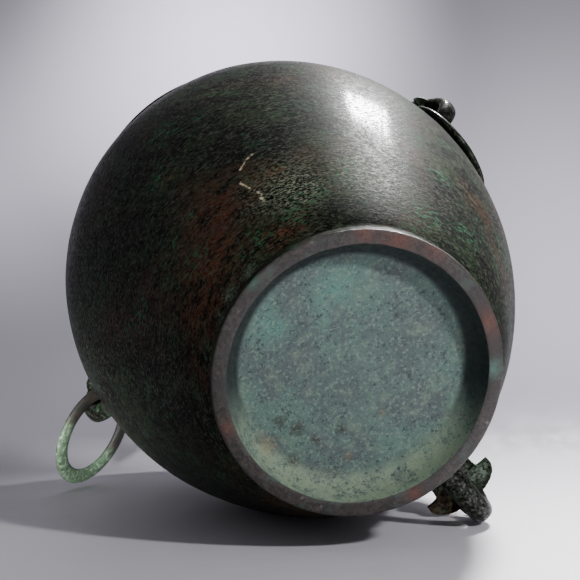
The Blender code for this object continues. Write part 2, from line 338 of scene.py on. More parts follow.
def softbox(name, lit_place, direction, distance, width, watts, spread=180, aside=0.0):
    """A square lamp that stands in a direction from a place and faces it, or a point aside from it."""
    bpy.ops.object.select_all(action="DESELECT")
    bpy.ops.object.light_add(type="AREA")
    lamp = bpy.context.object
    lamp.name = name
    lamp.location = lit_place + Vector(direction).normalized() * distance
    facing = lamp.location - lit_place - TABLE_RIGHT * aside
    lamp.rotation_euler = facing.to_track_quat("Z", "Y").to_euler()
    lamp.data.size = width
    lamp.data.energy = watts
    lamp.data.spread = math.radians(spread)
    return lamp


lamps = [
    softbox("overhead_softbox", SHEEN_PLACE, SHEEN_LAMP_SIDE, distance=1.15, width=0.20, watts=11,
            spread=64, aside=0.3),
    softbox("foot_lamp", VESSEL_MIDDLE, FOOT_LAMP_SIDE, distance=2.1, width=0.14, watts=30),
    softbox("far_side_fill", VESSEL_MIDDLE, FILL_LAMP_SIDE, distance=1.8, width=1.2, watts=13),
    softbox("ring_lamp", RING_PLACE, RING_LAMP_SIDE, distance=1.2, width=0.08, watts=0.3, spread=12)]

world = bpy.data.worlds.new("studio")
bpy.context.scene.world = world
world.use_nodes = True
nodes = world.node_tree.nodes
links = world.node_tree.links
seen = nodes.new("ShaderNodeLightPath")
level = nodes.new("ShaderNodeMapRange")
level.inputs["To Min"].default_value = STUDIO_LIGHT
level.inputs["To Max"].default_value = OPEN_VIEW_LIGHT
links.new(seen.outputs["Is Camera Ray"], level.inputs["Value"])
links.new(level.outputs["Result"], nodes["Background"].inputs["Strength"])
nodes["Background"].inputs["Color"].default_value = STUDIO_TINT
print(len(lamps), "lamps and a studio light of", STUDIO_LIGHT)

# %% [markdown]
# ## The turned body
# The body, the foot, the neck and the lip are one casting, made in a mould that was turned about
# its axis. So the piece is made as a potter would: one line is drawn from the middle of the inside
# floor, up the inner wall, over the lip, down the outside, round the foot and into the recess, and
# then spun once round the axis. Its sizes are those of the solids.

# %% Sizes of the turned form
AXIS = Vector((-0.024475, 0.011157, 0))
BELLY_RADIUS = 0.175
BELLY_HEIGHT = 0.257
FOOT_RADIUS = 0.1057
FOOT_RIM_WIDTH = 0.011
FOOT_HEIGHT = 0.014
FOOT_TAPER = 0.0012
RECESS_DEPTH = 0.023
RECESS_FLOOR_RADIUS = 0.085
SHOULDER_TOP_RADIUS = 0.112
SHOULDER_TOP_HEIGHT = 0.3955
NECK_RADIUS = 0.105
NECK_HEIGHT = 0.414
LIP_RADIUS = 0.1345
LIP_THICKNESS = 0.006
HEIGHT = 0.468
WALL = 0.0035
EDGE = 0.0012
SPIN_STEPS = 224
MERGE_DISTANCE = 0.00002


def bezier(start, start_pull, end_pull, end, steps):
    """Points of a cubic curve after its start, up to its end."""
    points = []
    for i in range(1, steps + 1):
        t = i / steps
        u = 1 - t
        weights = (u ** 3, 3 * u * u * t, 3 * u * t * t, t ** 3)
        pulls = (start, start_pull, end_pull, end)
        points.append(tuple(sum(w * p[k] for w, p in zip(weights, pulls)) for k in range(2)))
    return points


def wall_curve(steps):
    """The outside of the wall by (radius, height), from the foot's top to the lip's edge."""
    foot_top = (FOOT_RADIUS - FOOT_TAPER, FOOT_HEIGHT)
    belly = (BELLY_RADIUS, BELLY_HEIGHT)
    shoulder = (SHOULDER_TOP_RADIUS, SHOULDER_TOP_HEIGHT)
    neck = (NECK_RADIUS, NECK_HEIGHT)
    lip = (LIP_RADIUS, HEIGHT - LIP_THICKNESS / 2)
    lower_rise = BELLY_HEIGHT - FOOT_HEIGHT
    upper_rise = SHOULDER_TOP_HEIGHT - BELLY_HEIGHT
    lower_spread = BELLY_RADIUS - foot_top[0]
    upper_spread = BELLY_RADIUS - SHOULDER_TOP_RADIUS
    neck_rise = NECK_HEIGHT - SHOULDER_TOP_HEIGHT
    lip_rise = lip[1] - NECK_HEIGHT
    points = [foot_top]
    points += bezier(foot_top, (foot_top[0] + 0.26 * lower_spread, FOOT_HEIGHT + 0.11 * lower_rise),
                     (BELLY_RADIUS, BELLY_HEIGHT - 0.35 * lower_rise), belly, steps[0])
    points += bezier(belly, (BELLY_RADIUS, BELLY_HEIGHT + 0.57 * upper_rise),
                     (SHOULDER_TOP_RADIUS + 0.6 * upper_spread, SHOULDER_TOP_HEIGHT - 0.07 * upper_rise),
                     shoulder, steps[1])
    points += bezier(shoulder, (NECK_RADIUS, SHOULDER_TOP_HEIGHT + 0.1 * neck_rise),
                     (NECK_RADIUS, NECK_HEIGHT - 0.4 * neck_rise), neck, steps[2])
    points += bezier(neck, (NECK_RADIUS, NECK_HEIGHT + 0.45 * lip_rise),
                     (LIP_RADIUS - 0.35 * (LIP_RADIUS - NECK_RADIUS), lip[1] - 0.3 * lip_rise), lip, steps[3])
    return points


wall_line = wall_curve((60, 60, 8, 12))


def wall_radius(height):
    """The vessel's outside radius at a height."""
    for (r0, z0), (r1, z1) in zip(wall_line, wall_line[1:]):
        if z0 <= height <= z1:
            return r0 + (r1 - r0) * (height - z0) / (z1 - z0)
    return wall_line[-1][0]


print("belly", round(2 * BELLY_RADIUS * 100, 1), "cm across, foot", round(2 * FOOT_RADIUS * 100, 1), "cm")

# %% The line to be spun
outside = wall_curve((34, 30, 5, 12))
floor_height = RECESS_DEPTH + WALL
inside = []
for i, (radius, height) in enumerate(outside[:-4]):
    before = outside[max(i - 1, 0)]
    after = outside[i + 1]
    along = Vector((after[0] - before[0], after[1] - before[1])).normalized()
    moved = (radius - WALL * along.y, height + WALL * along.x)
    if moved[1] > floor_height + WALL:
        inside.append(moved)
corner = (inside[0][0] - 0.35 * (inside[0][1] - floor_height), floor_height)
floor_curve = bezier((corner[0] - 0.012, floor_height), corner, corner, inside[0], 5)[:-1]
lip_inside = LIP_RADIUS - LIP_THICKNESS
lip_curve = bezier(inside[-1], (lip_inside - 0.004, HEIGHT - 0.01), (lip_inside, HEIGHT - 0.006),
                   (lip_inside, HEIGHT - 0.0015), 4)
lip_top = [(lip_inside + 0.0012, HEIGHT - 0.0002), (LIP_RADIUS - 0.003, HEIGHT),
           (LIP_RADIUS - 0.0009, HEIGHT - 0.0006)]

inner_rim = FOOT_RADIUS - FOOT_RIM_WIDTH
floor_edge = 0.93 * RECESS_FLOOR_RADIUS
recess = bezier((floor_edge, RECESS_DEPTH), (RECESS_FLOOR_RADIUS, RECESS_DEPTH),
                (inner_rim - EDGE, 0.75 * RECESS_DEPTH), (inner_rim - 0.0002, EDGE), 10)
rim = [(inner_rim + 0.3 * EDGE, 0.3 * EDGE), (inner_rim + EDGE, 0), (inner_rim + 0.33 * FOOT_RIM_WIDTH, 0),
       (inner_rim + 0.66 * FOOT_RIM_WIDTH, 0), (FOOT_RADIUS - EDGE, 0),
       (FOOT_RADIUS - 0.3 * EDGE, 0.3 * EDGE), (FOOT_RADIUS, EDGE),
       (FOOT_RADIUS - 0.4 * FOOT_TAPER, 0.5 * FOOT_HEIGHT)]
floor_under = [(floor_edge * k / 8, RECESS_DEPTH) for k in range(9)]
floor_above = [(floor_curve[0][0] * k / 8, floor_height) for k in range(8)]

line = floor_above + floor_curve + inside + lip_curve + lip_top
line += outside[::-1] + rim[::-1] + recess[::-1][1:] + floor_under[::-1]
print("the line has", len(line), "points")

# %% Drawing the line and spinning it
def clear_selection():
    """Nothing stays selected, because an operator acts on all that is."""
    if bpy.context.object and bpy.context.object.mode != "OBJECT":
        bpy.ops.object.mode_set(mode="OBJECT")
    bpy.ops.object.select_all(action="DESELECT")


def on_axis(radius, height):
    return Vector((AXIS.x + radius, AXIS.y, height))


clear_selection()
bpy.ops.mesh.primitive_plane_add(size=0.01, location=on_axis(*line[0]))
body = bpy.context.object
body.name = "vessel_body"
bpy.ops.object.transform_apply(location=True, rotation=False, scale=False)
bpy.ops.object.mode_set(mode="EDIT")
bpy.ops.mesh.select_all(action="SELECT")
bpy.ops.mesh.merge(type="CENTER")
for start, end in zip(line, line[1:]):
    step = on_axis(*end) - on_axis(*start)
    bpy.ops.mesh.extrude_region_move(TRANSFORM_OT_translate={"value": step})
bpy.ops.mesh.select_all(action="SELECT")
bpy.ops.mesh.spin(steps=SPIN_STEPS, angle=2 * math.pi, center=AXIS, axis=(0, 0, 1))
bpy.ops.mesh.select_all(action="SELECT")
bpy.ops.mesh.remove_doubles(threshold=MERGE_DISTANCE)
bpy.ops.mesh.normals_make_consistent(inside=False)
bpy.ops.object.mode_set(mode="OBJECT")
print("the body has", len(body.data.polygons), "faces, box", [round(x, 4) for x in body.dimensions])

# %% [markdown]
# The faces get their finish number now, while the turned line still tells where each one belongs:
# the body, the foot's worn rim, its recess and the inside of the vessel.

# %% Which finish each face gets
def distance_out(point):
    return math.hypot(point[0] - AXIS.x, point[1] - AXIS.y)


BODY, RIM, RECESS, INSIDE = range(4)
for face in body.data.polygons:
    out = distance_out(face.center)
    up = face.center.z
    if up < EDGE * 1.01 and out > inner_rim - 0.0001:
        face.material_index = RIM
    elif up < RECESS_DEPTH + 0.0005 and out < inner_rim + 0.0001:
        face.material_index = RECESS
    elif up > RECESS_DEPTH + 0.0012 and up < HEIGHT - 0.004 and out < wall_radius(up) - WALL / 2:
        face.material_index = INSIDE
for name, number in (("rim", RIM), ("recess", RECESS), ("inside", INSIDE)):
    print(name, "has", sum(face.material_index == number for face in body.data.polygons), "faces")

# %% [markdown]
# A cast and polished wall is never perfectly round. One slow swell moves it by a few tenths of a
# millimetre, which bends the reflections. The foot's rim gets a finer one, because it has been
# knocked and worn.

# %% Unevenness of the casting
def swell(piece, name, size, strength, group=None):
    """Moves a piece's surface in and out along a cloudy pattern, and keeps the result."""
    clouds = bpy.data.textures.new(name, "CLOUDS")
    clouds.noise_scale = size
    clouds.noise_depth = 2
    bpy.context.view_layer.objects.active = piece
    piece.select_set(True)
    modifier = piece.modifiers.new(name, "DISPLACE")
    modifier.texture = clouds
    modifier.texture_coords = "LOCAL"
    modifier.strength = strength
    modifier.mid_level = 0.5
    if group:
        modifier.vertex_group = group
    bpy.ops.object.modifier_apply(modifier=name)


wall_group = body.vertex_groups.new(name="wall")
foot_group = body.vertex_groups.new(name="foot")
for vertex in body.data.vertices:
    up = vertex.co.z
    wall_group.add([vertex.index], min(max((up - 0.02) / 0.05, 0), 1), "REPLACE")
    if up < FOOT_HEIGHT and distance_out(vertex.co) > inner_rim - 0.004:
        foot_group.add([vertex.index], 1 - up / FOOT_HEIGHT, "REPLACE")
swell(body, "wall_swell", 0.09, 0.0014, "wall")
swell(body, "rim_wear", 0.011, 0.0011, "foot")
print("the uneven body's box", [round(x, 4) for x in body.dimensions])

# %% [markdown]
# ## The beast-head lugs
# Each lug is a strap that leaves a beast's head and bends back to the wall. The founder modelled
# them in wax, so they have no hard edges. Here the strap and the head are drawn out of a disc, the
# brows, the eyes and the leaf-shaped ears are set against them, and a voxel remesh melts them all
# into one skin, as wax does. Each one is made in its own frame first: x out from the vessel's axis, y
# across and z up.

# %% The strap's middle line
HANDLE = dict(middle_height=0.3402, wall_gap=0.006, tilt=25, standoff=0.0215, half_rise=0.0272)
FRONT_LUG = dict(middle_height=0.114, wall_gap=0.005, tilt=0, standoff=0.0385, half_rise=0.036)
LOOP_START = 150
LOOP_SWEEP = 275
LOOP_SQUARENESS = 2.5
STRAP_SQUARENESS = 2.3
STRAP_STEPS = 44


def squared(out, up, power):
    """Pushes a point of the unit circle out on to a squared oval."""
    return (abs(out) ** power + abs(up) ** power) ** (-1 / power)


def loop_point(s, lug):
    """The loop's middle line, from inside the wall above, round the front, to the wall below."""
    angle = math.radians(LOOP_START - LOOP_SWEEP * s)
    out, up = math.cos(angle), math.sin(angle)
    push = squared(out, up, LOOP_SQUARENESS)
    out, up = lug["standoff"] * out * push, lug["half_rise"] * up * push
    lean = math.radians(lug["tilt"])
    middle_out = wall_radius(lug["middle_height"]) + lug["wall_gap"]
    return Vector((middle_out + out * math.cos(lean) - up * math.sin(lean), 0,
                   lug["middle_height"] + out * math.sin(lean) + up * math.cos(lean)))


def blended(s, stops):
    """A value read between (s, value) stops, eased in and out of each."""
    for (s0, v0), (s1, v1) in zip(stops, stops[1:]):
        if s <= s1:
            t = max((s - s0) / (s1 - s0), 0)
            t = t * t * (3 - 2 * t)
            return v0 + (v1 - v0) * t
    return stops[-1][1]


print("the front strap reaches", round(loop_point(0.5, FRONT_LUG).x, 4), "m out from the axis")

# %% Drawing the strap out of a disc
def drawn_strap(name, lug, widths, thicknesses, lifts):
    """A bar extruded step by step along the loop, turned and resized at each step."""
    places, angles, wides, thicks = [], [], [], []
    for i in range(STRAP_STEPS + 1):
        s = i / STRAP_STEPS
        along = (loop_point(s + 0.01, lug) - loop_point(s - 0.01, lug)).normalized()
        outward = Vector((along.z, 0, -along.x))
        places.append(loop_point(s, lug) - outward * blended(s, lifts))
        angles.append(math.atan2(along.x, along.z))
        wides.append(blended(s, widths))
        thicks.append(blended(s, thicknesses))
    clear_selection()
    bpy.ops.mesh.primitive_circle_add(vertices=20, radius=1, fill_type="NGON")
    strap = bpy.context.object
    strap.name = name
    shape = bmesh.new()
    shape.from_mesh(strap.data)
    for vertex in shape.verts:
        push = squared(vertex.co.x, vertex.co.y, STRAP_SQUARENESS) * vertex.co.length
        x, y = vertex.co.x * push, vertex.co.y * push
        vertex.co = places[0] + Matrix.Rotation(angles[0], 3, "Y") @ Vector((x * thicks[0], y * wides[0], 0))
    shape.to_mesh(strap.data)
    shape.free()
    bpy.ops.object.mode_set(mode="EDIT")
    bpy.ops.mesh.select_all(action="SELECT")
    for i in range(1, STRAP_STEPS + 1):
        bpy.ops.mesh.extrude_region_move(TRANSFORM_OT_translate={"value": places[i] - places[i - 1]})
        turn = angles[i] - angles[i - 1]
        turn = (turn + math.pi) % (2 * math.pi) - math.pi
        bpy.ops.transform.rotate(value=-turn, orient_axis="Y", center_override=places[i])
        across = wides[i] / wides[i - 1]
        through = thicks[i] / thicks[i - 1]
        bpy.ops.transform.resize(value=(through, across, through), center_override=places[i])
    bpy.ops.mesh.select_all(action="SELECT")
    bpy.ops.mesh.normals_make_consistent(inside=False)
    bpy.ops.object.mode_set(mode="OBJECT")
    return strap


print("a strap is drawn in", STRAP_STEPS, "steps")

# %% Knobs, brows and ears
def pressed_ball(name, place, sizes, turns=(0, 0, 0)):
    """A ball pressed into an oval knob, turned and set in place."""
    clear_selection()
    bpy.ops.mesh.primitive_uv_sphere_add(segments=24, ring_count=14, radius=1)
    knob = bpy.context.object
    knob.name = name
    knob.scale = sizes
    knob.rotation_euler = [math.radians(turn) for turn in turns]
    knob.location = place
    bpy.ops.object.transform_apply(location=True, rotation=True, scale=True)
    return knob


EAR_OUTLINE = [(-0.031, 0.006), (-0.031, 0.0188), (-0.0235, 0.0192), (-0.0182, 0.0200), (-0.0178, 0.0245),
               (-0.0180, 0.0300), (-0.0125, 0.0300), (-0.0072, 0.0274), (-0.0028, 0.0215), (-0.0002, 0.015),
               (0.0004, 0.010), (-0.005, 0.006)]
EAR_THICKNESS = 0.006
EAR_BORDER = 0.0021
EAR_HOLLOW = 0.0024
EAR_SLOPE_WIDTH = 0.0020
EAR_SLOPE_RISE = 0.0008


def leaf_ear(name, root, size, side, cheek=0.031):
    """Cheek and ear as one hollow leaf: an outline from its root, cut off at the cheek and thickened."""
    clear_selection()
    bpy.ops.mesh.primitive_circle_add(vertices=len(EAR_OUTLINE), radius=1, fill_type="NGON")
    leaf = bpy.context.object
    leaf.name = name
    for vertex, (out, across) in zip(leaf.data.vertices, EAR_OUTLINE):
        vertex.co = root + Vector((max(out, -cheek) * size, across * size * side, EAR_THICKNESS * size / 2))
    bpy.ops.object.mode_set(mode="EDIT")
    bpy.ops.mesh.select_all(action="SELECT")
    bpy.ops.mesh.extrude_region_move(TRANSFORM_OT_translate={"value": (0, 0, -EAR_THICKNESS * size)})
    bpy.ops.mesh.inset(thickness=EAR_BORDER * size)
    bpy.ops.transform.translate(value=(0, 0, EAR_HOLLOW * size))
    bpy.ops.mesh.inset(thickness=EAR_SLOPE_WIDTH * size)
    bpy.ops.transform.translate(value=(0, 0, EAR_SLOPE_RISE * size))
    bpy.ops.mesh.select_all(action="SELECT")
    bpy.ops.mesh.normals_make_consistent(inside=False)
    bpy.ops.object.mode_set(mode="OBJECT")
    return leaf


MELT_SMOOTHING = 6


def melted(name, parts, voxel):
    """Joins the parts and melts them into one skin."""
    clear_selection()
    for part in parts:
        part.select_set(True)
    bpy.context.view_layer.objects.active = parts[0]
    bpy.ops.object.join()
    made = bpy.context.object
    made.name = name
    remesh = made.modifiers.new("melt", "REMESH")
    remesh.mode = "VOXEL"
    remesh.voxel_size = voxel
    bpy.ops.object.modifier_apply(modifier="melt")
    smooth = made.modifiers.new("smooth", "SMOOTH")
    smooth.factor = 0.5
    smooth.iterations = MELT_SMOOTHING
    bpy.ops.object.modifier_apply(modifier="smooth")
    return made


def set_on_wall(piece, azimuth, depth=0.0024):
    """Turns a lug to its place round the vessel and ends it inside the thickness of the wall."""
    clear_selection()
    piece.select_set(True)
    bpy.context.view_layer.objects.active = piece
    for vertex in piece.data.vertices:
        out = math.hypot(vertex.co.x, vertex.co.y)
        least = wall_radius(vertex.co.z) - depth
        if out < least:
            vertex.co.x *= least / out
            vertex.co.y *= least / out
    piece.data.transform(Matrix.Translation(AXIS) @ Matrix.Rotation(math.radians(azimuth), 4, "Z"))
    bpy.ops.object.shade_smooth()
    return piece


print("an ear's outline has", len(EAR_OUTLINE), "points")

# %% [markdown]
# The front lug is the bigger head, with a muzzle, nostrils and ears that stand out to both sides.
# Its parts could be joined by booleans, but those leave sharp seams that a casting doesn't have. The
# voxels are small, so that the ears and brows keep their shape.

# %% The front lug
BROW_TURN = 18
FRONT_LUG_VOXEL = 0.0006


def front_lug():
    widths = [(0, 0.0175), (0.16, 0.0185), (0.34, 0.0172), (0.46, 0.0118), (0.56, 0.0098),
              (0.68, 0.0086), (0.85, 0.0094), (1, 0.0105)]
    thicknesses = [(0, 0.0095), (0.2, 0.0105), (0.34, 0.0098), (0.48, 0.0074), (0.62, 0.0068),
                   (1, 0.0068)]
    lifts = [(0, 0.003), (0.34, 0.003), (0.5, 0), (1, 0)]
    parts = [drawn_strap("front_strap", FRONT_LUG, widths, thicknesses, lifts)]
    for side in (1, -1):
        eye = Vector((0.1835, 0.0092 * side, 0.1545))
        brow = Vector((0.1765, 0.0098 * side, 0.1565))
        nostril = Vector((0.1985, 0.0046 * side, 0.142))
        turn = (0, 0, -BROW_TURN * side)
        parts += [leaf_ear("front_ear", Vector((0.191, 0, 0.1355)), 1, side),
                  pressed_ball("front_eye", eye, (0.0042, 0.0042, 0.0032)),
                  pressed_ball("front_brow", brow, (0.0026, 0.0075, 0.0034), turn),
                  pressed_ball("front_nostril", nostril, (0.0034, 0.003, 0.003))]
    parts.append(pressed_ball("front_crest", Vector((0.171, 0, 0.156)), (0.012, 0.0034, 0.0042)))
    return melted("front_lug", parts, FRONT_LUG_VOXEL)


front_piece = set_on_wall(front_lug(), -90)
print("front lug has", len(front_piece.data.polygons), "faces")

# %% The two shoulder handles
HANDLE_VOXEL = 0.0005
HANDLE_EAR_SIZE = 0.6
HANDLE_CHEEK = 0.0145


def shoulder_handle(name):
    widths = [(0, 0.0138), (0.2, 0.0152), (0.34, 0.014), (0.46, 0.0098), (0.58, 0.009),
              (0.8, 0.0078), (1, 0.0072)]
    thicknesses = [(0, 0.0078), (0.2, 0.0086), (0.34, 0.0082), (0.48, 0.0062), (0.62, 0.0057),
                   (1, 0.0057)]
    lifts = [(0, 0.0024), (0.34, 0.0024), (0.5, 0), (1, 0)]
    parts = [drawn_strap(name + "_strap", HANDLE, widths, thicknesses, lifts)]
    ear_root = loop_point(0.5, HANDLE) + Vector((0.001, 0, -0.001))
    head = loop_point(0.24, HANDLE)
    crest = loop_point(0.2, HANDLE) + Vector((0, 0, 0.0072))
    for side in (1, -1):
        eye = head + Vector((0.004, 0.007 * side, 0.0072))
        brow = head + Vector((-0.001, 0.0078 * side, 0.0078))
        turn = (0, 0, -BROW_TURN * side)
        parts += [leaf_ear(name + "_ear", ear_root, HANDLE_EAR_SIZE, side, HANDLE_CHEEK),
                  pressed_ball(name + "_eye", eye, (0.0031, 0.0031, 0.0026)),
                  pressed_ball(name + "_brow", brow, (0.002, 0.0056, 0.0026), turn)]
    parts.append(pressed_ball(name + "_crest", crest, (0.009, 0.0026, 0.003)))
    return melted(name, parts, HANDLE_VOXEL)


right_piece = set_on_wall(shoulder_handle("handle_right"), 0)
left_piece = set_on_wall(shoulder_handle("handle_left"), 180)
print("each handle has", len(right_piece.data.polygons), "faces")

# %% [markdown]
# ## The loose rings
# Each ring is a cast hoop, wider than it is thick. An oval could be swept along a circle, but a
# torus that is pressed flat along its own axis has the same section in one step. It is turned to the
# way the ring faces and moved to the middle of its CAD solid.

# %% The rings
RING_RADIUS = 0.0391
RING_WIDTH = 0.0125
RING_THICKNESS = 0.0068
RIGHT_RING_FACING = (-0.3536, -0.6129, -0.7066)
LEFT_RING_FACING = (-0.9563, -0.1415, 0.2559)


def loose_ring(name, solid, facing):
    low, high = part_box(solid)
    middle = (Vector(low) + Vector(high)) / 2
    clear_selection()
    bpy.ops.mesh.primitive_torus_add(major_radius=RING_RADIUS, minor_radius=RING_WIDTH / 2,
                                     major_segments=128, minor_segments=28)
    hoop = bpy.context.object
    hoop.name = name
    bpy.ops.object.mode_set(mode="EDIT")
    bpy.ops.mesh.select_all(action="SELECT")
    bpy.ops.transform.resize(value=(1, 1, RING_THICKNESS / RING_WIDTH))
    bpy.ops.object.mode_set(mode="OBJECT")
    hoop.rotation_mode = "QUATERNION"
    hoop.rotation_quaternion = Vector(facing).to_track_quat("Z", "Y")
    hoop.location = middle
    bpy.ops.object.transform_apply(location=True, rotation=True, scale=True)
    swell(hoop, name + "_wear", 0.014, 0.0005)
    bpy.ops.object.shade_smooth()
    return hoop


ring_right = loose_ring("ring_right_hoop", "ring_right", RIGHT_RING_FACING)
ring_left = loose_ring("ring_left_hoop", "ring_left", LEFT_RING_FACING)
print("rings placed at the middles of their solids")

# %% [markdown]
# ## The patina
# Buried bronze takes a skin of oxides: nearly black where it was handled, green where copper salts
# came out, brown and rust-red where tin and cuprite show. The skin is thin over metal, so it still
# shines like satin, and its grain breaks the shine up into specks.

# %% The dark skin's colours
BLACK_SKIN = (0.010, 0.011, 0.009)
PITCH = (0.003, 0.003, 0.003)
GREEN_SKIN = (0.018, 0.030, 0.015)
BROWN_SKIN = (0.050, 0.026, 0.016)
OLIVE_GRAIN = (0.058, 0.061, 0.044)
CREAM = (0.62, 0.54, 0.36)
PALE_GRAIN_AND_SHEEN = (0.17, 0.19, 0.13)
MALACHITE = (0.030, 0.115, 0.055)
RUST = (0.14, 0.032, 0.014)
CRUST = (0.10, 0.145, 0.10)

SKIN_SPECULAR = 0.015
SHEEN_ROUGHNESS = 0.135
DULL_HEIGHT = 0.030
SHINY_HEIGHT = 0.065
SCRATCH_WIDTH = 0.0013

SCRATCHES = [[(-0.071, 0.151, 0.117), (-0.063, 0.152, 0.113), (-0.055, 0.152, 0.105)],
             [(-0.049, 0.148, 0.091), (-0.052, 0.143, 0.080), (-0.055, 0.138, 0.070), (-0.053, 0.136, 0.062)]]
RUSTY_PLACES = [(-0.020, 0.146, 0.080, 0.035), (0.002, 0.130, 0.050, 0.045), (0.026, 0.114, 0.033, 0.03),
                (-0.060, 0.118, 0.028, 0.014), (-0.049, 0.120, 0.026, 0.016), (-0.011, 0.169, 0.154, 0.012),
                (-0.073, 0.139, 0.086, 0.018), (-0.173, 0.006, 0.119, 0.03)]
GREEN_PLACES = [(-0.092, 0.115, 0.054, 0.02), (-0.081, 0.120, 0.049, 0.018), (-0.063, 0.121, 0.036, 0.018),
                (-0.033, 0.126, 0.034, 0.02), (-0.029, 0.182, 0.212, 0.026), (-0.004, 0.170, 0.161, 0.02),
                (0.070, 0.119, 0.103, 0.022), (0.020, 0.143, 0.092, 0.02), (-0.165, 0.048, 0.108, 0.02),
                (-0.134, 0.056, 0.040, 0.026), (-0.148, 0.020, 0.052, 0.02)]
# Partly pale grain of the skin and partly a painted sheen near the softbox's highlight.
PALE_AND_SHEEN_PLACES = [(-0.075, 0.135, 0.065, 0.05), (-0.130, 0.100, 0.070, 0.05)]
CRUSTY_PLACES = [(-0.013, 0.115, 0.016, 0.009), (0.007, 0.111, 0.016, 0.012), (0.021, 0.102, 0.015, 0.01),
                 (-0.049, -0.167, 0.135, 0.022)]


def strokes(material, vector, lines, width, ragged, raggedness):
    """1 along each line of points and 0 past its width, with a ragged edge."""
    nearest = 1.0
    for line in lines:
        for start, end in zip(line, line[1:]):
            span = Vector(end) - Vector(start)
            offset = node(material, "VectorMath", operation="SUBTRACT")
            put(material, vector, offset.inputs[0])
            offset.inputs[1].default_value = start
            share = reach_along(material, offset.outputs[0], span)
            share = maths(material, "MULTIPLY", share, 1 / span.length_squared)
            share = maths(material, "MINIMUM", maths(material, "MAXIMUM", share, 0.0), 1.0)
            foot = node(material, "VectorMath", operation="SCALE")
            foot.inputs[0].default_value = span
            put(material, share, foot.inputs["Scale"])
            away = node(material, "VectorMath", operation="DISTANCE")
            put(material, offset.outputs[0], away.inputs[0])
            put(material, foot.outputs[0], away.inputs[1])
            nearest = maths(material, "MINIMUM", nearest, away.outputs["Value"])
    nearest = maths(material, "MULTIPLY_ADD", ragged, raggedness * width, nearest)
    width = width * (1 + raggedness / 2)
    return step_between(material, nearest, 0.6 * width, width, 1.0, 0.0)


def dark_skin(name, coat, metallic):
    """The body's skin: mottled black, green and brown under a fine olive grain."""
    made = new_material(name, 0.5, coat=coat, coat_roughness=SHEEN_ROUGHNESS, metallic=metallic)
    shader_of(made).inputs["Specular IOR Level"].default_value = SKIN_SPECULAR
    here = place_of(made)
    banded = place_of(made, (1, 1, 2.2))
    grain = noise(made, banded, 0.0046, 3, 0.62)
    fine = noise(made, banded, 0.0026, 2, 0.6)
    blotch = noise(made, banded, 0.014, 6, 0.75)
    cloud = noise(made, here, 0.035, 6, 0.7)
    drift = noise(made, here, 0.09, 3, 0.55)
    scattered = step_between(made, noise(made, here, 0.03, 3), 0.52, 0.66, 0, 0.6)
    green = maths(made, "MAXIMUM", spots(made, here, GREEN_PLACES, cloud, 0.8), scattered)
    flecks = step_between(made, noise(made, banded, 0.0048, 4, 0.7), 0.53, 0.6)
    scratch = strokes(made, here, SCRATCHES, SCRATCH_WIDTH, noise(made, here, 0.004, 5, 0.7), 6)
    skin = layered(
        made, BLACK_SKIN,
        (GREEN_SKIN, step_between(made, cloud, 0.44, 0.6)),
        (BROWN_SKIN, step_between(made, drift, 0.5, 0.68, 0, 0.8)),
        (RUST, spots(made, here, RUSTY_PLACES, blotch, 3.0),
         step_between(made, grain, 0.42, 0.56, 0.15, 0.9)),
        (PITCH, step_between(made, blotch, 0.5, 0.6, 0, 0.9)),
        (PITCH, step_between(made, fine, 0.48, 0.38, 0, 0.85)),
        (OLIVE_GRAIN, step_between(made, grain, 0.54, 0.64, 0, 0.7)),
        (OLIVE_GRAIN, step_between(made, fine, 0.58, 0.68, 0, 0.9)),
        # pale grain that is partly a painted sheen near the highlight
        (PALE_GRAIN_AND_SHEEN, spots(made, here, PALE_AND_SHEEN_PLACES, cloud, 1.0), step_between(made, fine, 0.48, 0.6)),
        (MALACHITE, green, flecks),
        (CRUST, spots(made, here, CRUSTY_PLACES, grain, 2.5), step_between(made, fine, 0.38, 0.52)),
        (CREAM, scratch))
    height = node(made, "SeparateXYZ")
    put(made, here, height.inputs[0])
    handled = step_between(made, height.outputs["Z"], DULL_HEIGHT, SHINY_HEIGHT)
    gloss = maths(made, "MULTIPLY", handled, step_between(made, fine, 0.44, 0.58, 0.05 * coat, 1.6 * coat))
    put(made, gloss, shader_of(made).inputs["Coat Weight"])
    finish_with(made, skin, step_between(made, grain, 0.38, 0.62, 0.4, 0.62),
                [(fine, 0.16, 0.0005), (grain, 0.2, 0.001), (blotch, 0.2, 0.0015)])
    return made


patina = dark_skin("dark_patina", 0.14, 0.02)
lug_skin = dark_skin("lug_patina", 0.3, 0.1)
print("dark patina has", len(patina.node_tree.nodes), "nodes")

# %% [markdown]
# The foot's rim was set down for centuries, so it is worn to a dull brown-grey with orange rust,
# green and a few pale chips at places on its ring.

# %% The worn rim
def on_rim(*places):
    """Places on the rim, given by azimuth in degrees, radius and reach."""
    return [(AXIS.x + radius * math.cos(math.radians(azimuth)),
             AXIS.y + radius * math.sin(math.radians(azimuth)), 0, reach)
            for azimuth, radius, reach in places]


RIM_BLACK = (0.013, 0.011, 0.010)
RIM_BROWN = (0.055, 0.043, 0.038)
RIM_WEAR = (0.11, 0.095, 0.085)
RIM_SOOT = (0.02, 0.019, 0.018)
RIM_DULL_GREEN = (0.035, 0.06, 0.048)
RIM_UMBER = (0.012, 0.009, 0.007)
RIM_RUST = (0.19, 0.045, 0.018)
RIM_GREEN = (0.08, 0.2, 0.15)
RIM_CHIP = (0.15, 0.14, 0.12)

